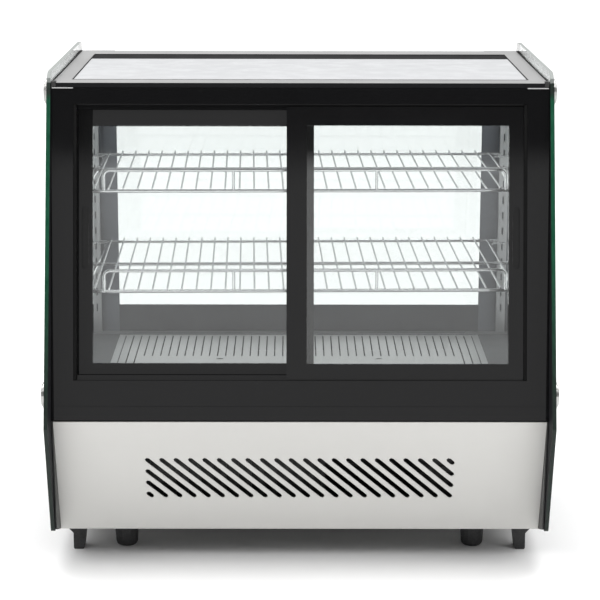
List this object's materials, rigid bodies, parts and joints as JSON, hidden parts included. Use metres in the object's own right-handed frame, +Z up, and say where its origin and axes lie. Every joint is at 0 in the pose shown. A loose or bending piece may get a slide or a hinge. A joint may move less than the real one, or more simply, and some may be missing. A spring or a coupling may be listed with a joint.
{
  "type": "countertop refrigerated display case",
  "caption": "Countertop refrigerated glass case with sliding rear doors, wire shelves, slotted deck plates and a stainless base that houses the cooling machine.",
  "frame": {"origin": "middle of the bounding box's underside, on the floor between the feet", "axes": "+X to the right of a person who faces the sliding doors, +Y from the doors to the fixed front glass, +Z up"},
  "size_m": [0.702, 0.568, 0.689],
  "materials": {
    "brushed_steel": "satin",
    "top_metal": "satin",
    "chrome_wire": "polished",
    "black_frame": "gloss",
    "black_sheet": "satin",
    "liner": "matte",
    "rubber": "matte",
    "glass": "polished",
    "white_glass": "polished",
    "diffuser": "matte",
    "enamel": "satin",
    "coil_metal": "satin",
    "control": "satin"
  },
  "bodies": {
    "cabinet": {"air_outlet_ledge": "liner", "base_tray": "brushed_steel", "cable_gland": "black_frame", "cap_front_low_left": "chrome_wire", "cap_front_low_right": "chrome_wire", "cap_front_top_left": "chrome_wire", "cap_front_top_right": "chrome_wire", "cap_rear_low_left": "chrome_wire", "cap_rear_low_right": "chrome_wire", "cap_rear_top_left": "chrome_wire", "cap_rear_top_right": "chrome_wire", "compressor": "enamel", "condenser": "coil_metal", "corner_leg_left": "rubber", "corner_leg_right": "rubber", "deck_plate_left": "brushed_steel", "deck_plate_right": "brushed_steel", "drain_pan": "liner", "evaporator": "coil_metal", "fan_shroud": "black_sheet", "foot_front_left": "rubber", "foot_front_right": "rubber", "foot_rear_left": "rubber", "foot_rear_right": "rubber", "front_base_panel": "brushed_steel", "front_glass": "glass", "insulated_well": "liner", "left_base_side": "black_sheet", "left_side_glass": "glass", "light_diffuser": "diffuser", "light_housing": "top_metal", "lower_shelf": "chrome_wire", "lower_shelf_support_left": "chrome_wire", "lower_shelf_support_right": "chrome_wire", "rear_door_frame": "black_frame", "rear_grille_panel": "brushed_steel", "right_base_side": "black_sheet", "right_side_glass": "glass", "sill_strip": "black_frame", "switch_housing": "control", "thermostat": "control", "top_frame": "top_metal", "top_glass": "white_glass", "upper_shelf": "chrome_wire", "upper_shelf_support_left": "chrome_wire", "upper_shelf_support_right": "chrome_wire", "upright_front_left": "brushed_steel", "upright_front_right": "brushed_steel", "upright_rear_left": "brushed_steel", "upright_rear_right": "brushed_steel"},
    "left_door": {"left_door_frame": "black_frame", "left_door_glass": "glass"},
    "right_door": {"right_door_frame": "black_frame", "right_door_glass": "glass"},
    "condenser_fan": {"condenser_fan": "black_frame"},
    "evaporator_fan": {"evaporator_fan": "black_frame"},
    "thermostat_up_key": {"thermostat_up_key": "control"},
    "thermostat_down_key": {"thermostat_down_key": "control"},
    "power_rocker": {"power_rocker": "control"},
    "light_rocker": {"light_rocker": "control"}
  },
  "joints": [
    {"name": "left_door_slide", "type": "slide", "parent": "cabinet", "child": "left_door", "axis": [1, 0, 0], "range_m": [0, 0.286]},
    {"name": "right_door_slide", "type": "slide", "parent": "cabinet", "child": "right_door", "axis": [1, 0, 0], "range_m": [-0.286, 0]},
    {"name": "condenser_fan_spin", "type": "hinge", "parent": "cabinet", "child": "condenser_fan", "pos_m": [-0.09, -0.1207, 0.125], "axis": [0, 1, 0], "continuous": true},
    {"name": "evaporator_fan_spin", "type": "hinge", "parent": "cabinet", "child": "evaporator_fan", "pos_m": [0.13, 0.09, 0.145], "axis": [1, 0, 0], "continuous": true},
    {"name": "thermostat_up_press", "type": "slide", "parent": "cabinet", "child": "thermostat_up_key", "axis": [0, -0.9412, 0.3379], "range_m": [0, 0.001], "stiffness_N_per_m": 200},
    {"name": "thermostat_down_press", "type": "slide", "parent": "cabinet", "child": "thermostat_down_key", "axis": [0, -0.9412, 0.3379], "range_m": [0, 0.001], "stiffness_N_per_m": 200},
    {"name": "power_rocker_tilt", "type": "hinge", "parent": "cabinet", "child": "power_rocker", "pos_m": [-0.124, 0.24216, 0.13625], "axis": [1, 0, 0], "range_deg": [0, 10]},
    {"name": "light_rocker_tilt", "type": "hinge", "parent": "cabinet", "child": "light_rocker", "pos_m": [-0.146, 0.24216, 0.13625], "axis": [1, 0, 0], "range_deg": [0, 10]}
  ]
}
